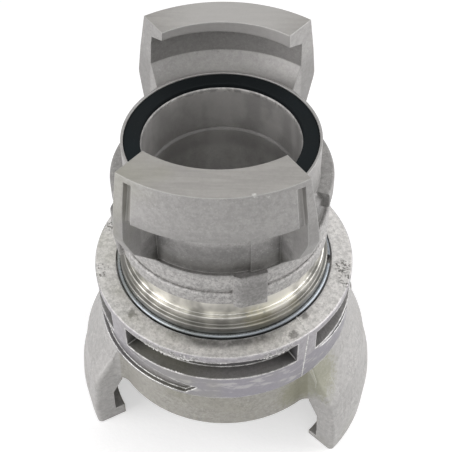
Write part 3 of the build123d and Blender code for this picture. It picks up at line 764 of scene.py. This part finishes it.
class CouplingStage(bpy.types.PropertyGroup):
    """Camera, floor and light."""

    camera_place: bpy.props.FloatVectorProperty(
        name="Camera place",
        description="Where the camera stands",
        default=(0.0247, -0.3452, 0.4981),
        subtype="TRANSLATION",
        unit="LENGTH",
    )
    camera_fall: angle_setting("Camera fall", "How far the camera looks down", math.radians(47.2))
    camera_turn: angle_setting("Camera turn", "Turn of the camera about the upright", 0.0673)
    camera_roll: angle_setting("Camera roll", "Roll of the camera about its sight line", -0.0163)
    camera_lens: plain_setting("Camera lens", "Focal length in millimetres", 79.65, 1.0)
    floor_colour: colour_setting("Floor", "Colour of the pale floor", (0.70, 0.70, 0.70, 1.0))
    sky_colour: colour_setting("Studio", "Colour of the soft light from all sides", (1.0, 1.0, 1.0, 1.0))
    sky_power: plain_setting("Studio light", "Strength of the light from all sides", 0.42)
    side_power: power_setting("Side lights", "Power of each lamp beside the part", 4.4)
    top_power: power_setting("Top light", "Power of the lamp overhead", 1.2)
    front_power: power_setting("Front light", "Power of the lamp over the camera", 1.0)
    floor_glow: plain_setting(
        "Floor glow", "White that the floor adds for the camera and in reflections", 0.46
    )


# Operators


class CouplingOperator:
    """Options that all the operators here share."""

    bl_options = {"REGISTER", "UNDO"}


class MATERIAL_OT_small_half(CouplingOperator, bpy.types.Operator):
    """Give the small half its cast skin, machined hook faces and rough bore"""

    bl_idname = "coupling.small_half"
    bl_label = "Small Half"

    def execute(self, context):
        wear_finish("small_half_coupling", small_half_metal(context.scene.coupling_looks))
        return {"FINISHED"}


class MATERIAL_OT_large_half(CouplingOperator, bpy.types.Operator):
    """Give the large half its cast skin and turned hub"""

    bl_idname = "coupling.large_half"
    bl_label = "Large Half"

    def execute(self, context):
        wear_finish("large_half_coupling", large_half_metal(context.scene.coupling_looks))
        return {"FINISHED"}


class MATERIAL_OT_locking_ring(CouplingOperator, bpy.types.Operator):
    """Give the locking ring its cast top and turned band"""

    bl_idname = "coupling.locking_ring"
    bl_label = "Locking Ring"

    def execute(self, context):
        wear_finish("locking_ring", ring_metal(context.scene.coupling_looks))
        return {"FINISHED"}


class MESH_OT_ring_marks(CouplingOperator, bpy.types.Operator):
    """Add the raised mould line and the burrs that the casting left on the locking ring"""

    bl_idname = "coupling.ring_marks"
    bl_label = "Ring Casting Marks"

    def execute(self, context):
        mark_ring(context.scene.coupling_looks)
        return {"FINISHED"}


class MATERIAL_OT_wire_and_seals(CouplingOperator, bpy.types.Operator):
    """Give the wire ring its dark steel and the seals their rubber"""

    bl_idname = "coupling.wire_and_seals"
    bl_label = "Wire and Seals"

    def execute(self, context):
        looks = context.scene.coupling_looks
        wear_finish("retaining_ring", spring_wire(looks))
        rubber = seal_rubber(looks)
        for node in ("small_seal", "large_seal"):
            wear_finish(node, rubber)
        return {"FINISHED"}


def seen_rays(tree):
    """One for what the camera and reflections see, nothing for what lights the part."""
    path = tree.nodes.new("ShaderNodeLightPath")
    seen = path.outputs["Is Camera Ray"]
    for name in ("Is Glossy Ray", "Is Transmission Ray"):
        either = tree.nodes.new("ShaderNodeMath")
        either.operation = "MAXIMUM"
        tree.links.new(seen, either.inputs[0])
        tree.links.new(path.outputs[name], either.inputs[1])
        seen = either.outputs[0]
    return seen


def pour_floor(stage):
    """A wide pale disc under the claws, which keeps the coupling's shadow."""
    corners, reach, level = 96, 3.0, -0.0002
    turns = [step * math.tau / corners for step in range(corners)]
    rim = [(reach * math.cos(turn), reach * math.sin(turn), level) for turn in turns]
    mesh = bpy.data.meshes.new("pale floor")
    mesh.from_pydata(rim, [], [tuple(range(corners))])
    floor = bpy.data.objects.new("floor", mesh)
    bpy.context.collection.objects.link(floor)
    paint = Finish("pale floor")
    speckle = paint.ramp(paint.noise(14.0, 3.0), 0.3, 0.7)
    colour = paint.mix(speckle, stage.floor_colour, tint(stage.floor_colour, 1.02))
    glow = paint.math("MULTIPLY", seen_rays(paint.tree), stage.floor_glow)
    paint.surface.inputs["Emission Color"].default_value = (1.0, 1.0, 1.0, 1.0)
    paint.feed(paint.surface.inputs["Emission Strength"], glow)
    mesh.materials.append(paint.finish(colour, 0.85, 0.0, paint.bump(paint.noise(300.0), 0.0001)))


def hang_lamp(name, place, size, power, colour):
    """A soft oblong lamp that shines at the coupling."""
    lamp = bpy.data.lights.new(name, "AREA")
    lamp.shape = "RECTANGLE"
    lamp.size, lamp.size_y = size
    lamp.energy = power
    lamp.color = colour
    held = bpy.data.objects.new(name, lamp)
    held.location = place
    held.rotation_mode = "QUATERNION"
    held.rotation_quaternion = (LAMP_AIM - Vector(place)).to_track_quat("-Z", "Y")
    bpy.context.collection.objects.link(held)


def light_studio(stage):
    """A soft world that looks white to the camera, and four lamps."""
    world = bpy.data.worlds.new("soft studio")
    world.use_nodes = True
    tree = world.node_tree
    tree.nodes.clear()
    sky = tree.nodes.new("ShaderNodeBackground")
    sky.inputs["Color"].default_value = stage.sky_colour
    sky.inputs["Strength"].default_value = stage.sky_power
    white = tree.nodes.new("ShaderNodeBackground")
    white.inputs["Color"].default_value = (1.0, 1.0, 1.0, 1.0)
    either = tree.nodes.new("ShaderNodeMixShader")
    tree.links.new(seen_rays(tree), either.inputs[0])
    tree.links.new(sky.outputs[0], either.inputs[1])
    tree.links.new(white.outputs[0], either.inputs[2])
    output = tree.nodes.new("ShaderNodeOutputWorld")
    tree.links.new(either.outputs[0], output.inputs["Surface"])
    bpy.context.scene.world = world
    tall, warm = (0.6, 0.8), (1.0, 0.99, 0.97)
    hang_lamp("left lamp", (-0.72, -0.34, 0.40), tall, stage.side_power, (1.0, 0.985, 1.0))
    hang_lamp("right lamp", (0.78, 0.12, 0.40), tall, stage.side_power, (0.995, 0.985, 1.0))
    hang_lamp("top lamp", (0.0, 0.15, 1.05), (0.9, 0.9), stage.top_power, warm)
    hang_lamp("front lamp", (0.10, -0.62, 0.85), (0.5, 0.5), stage.front_power, warm)


def place_camera(stage):
    """The camera, at the place and angle that the settings give."""
    lens = bpy.data.cameras.new("photo camera")
    lens.lens = stage.camera_lens
    lens.clip_start, lens.clip_end = 0.01, 20.0
    camera = bpy.data.objects.new("photo camera", lens)
    bpy.context.collection.objects.link(camera)
    turn = Matrix.Rotation(stage.camera_turn, 4, "Z")
    fall = Matrix.Rotation(math.pi / 2 - stage.camera_fall, 4, "X")
    roll = Matrix.Rotation(stage.camera_roll, 4, "Z")
    camera.matrix_world = Matrix.Translation(stage.camera_place) @ turn @ fall @ roll
    bpy.context.scene.camera = camera


class SCENE_OT_coupling_stage(CouplingOperator, bpy.types.Operator):
    """Set up the pale floor, the soft studio light and the camera"""

    bl_idname = "coupling.stage"
    bl_label = "Stage"

    def execute(self, context):
        stage = context.scene.coupling_stage
        pour_floor(stage)
        light_studio(stage)
        place_camera(stage)
        context.scene.view_settings.view_transform = "Standard"
        return {"FINISHED"}


class VIEW3D_PT_coupling(bpy.types.Panel):
    """Sidebar panel that lists the coupling's operators and settings"""

    bl_idname = "VIEW3D_PT_coupling"
    bl_label = "Hose Coupling"
    bl_space_type = "VIEW_3D"
    bl_region_type = "UI"
    bl_category = "Coupling"

    def draw(self, context):
        for operator in OPERATORS:
            self.layout.operator(operator.bl_idname)
        for settings in (context.scene.coupling_looks, context.scene.coupling_stage):
            box = self.layout.box()
            for name in type(settings).__annotations__:
                box.prop(settings, name)


OPERATORS = (
    MATERIAL_OT_small_half,
    MATERIAL_OT_large_half,
    MATERIAL_OT_locking_ring,
    MESH_OT_ring_marks,
    MATERIAL_OT_wire_and_seals,
    SCENE_OT_coupling_stage,
)
CLASSES = (CouplingLooks, CouplingStage, *OPERATORS, VIEW3D_PT_coupling)


def register():
    for cls in CLASSES:
        bpy.utils.register_class(cls)
    bpy.types.Scene.coupling_looks = bpy.props.PointerProperty(type=CouplingLooks)
    bpy.types.Scene.coupling_stage = bpy.props.PointerProperty(type=CouplingStage)


def unregister():
    del bpy.types.Scene.coupling_stage
    del bpy.types.Scene.coupling_looks
    for cls in reversed(CLASSES):
        bpy.utils.unregister_class(cls)


def main():
    register()
    bpy.ops.coupling.stage()
    bpy.ops.coupling.small_half()
    bpy.ops.coupling.large_half()
    bpy.ops.coupling.locking_ring()
    bpy.ops.coupling.ring_marks()
    bpy.ops.coupling.wire_and_seals()


if __name__ == "__main__":
    main()
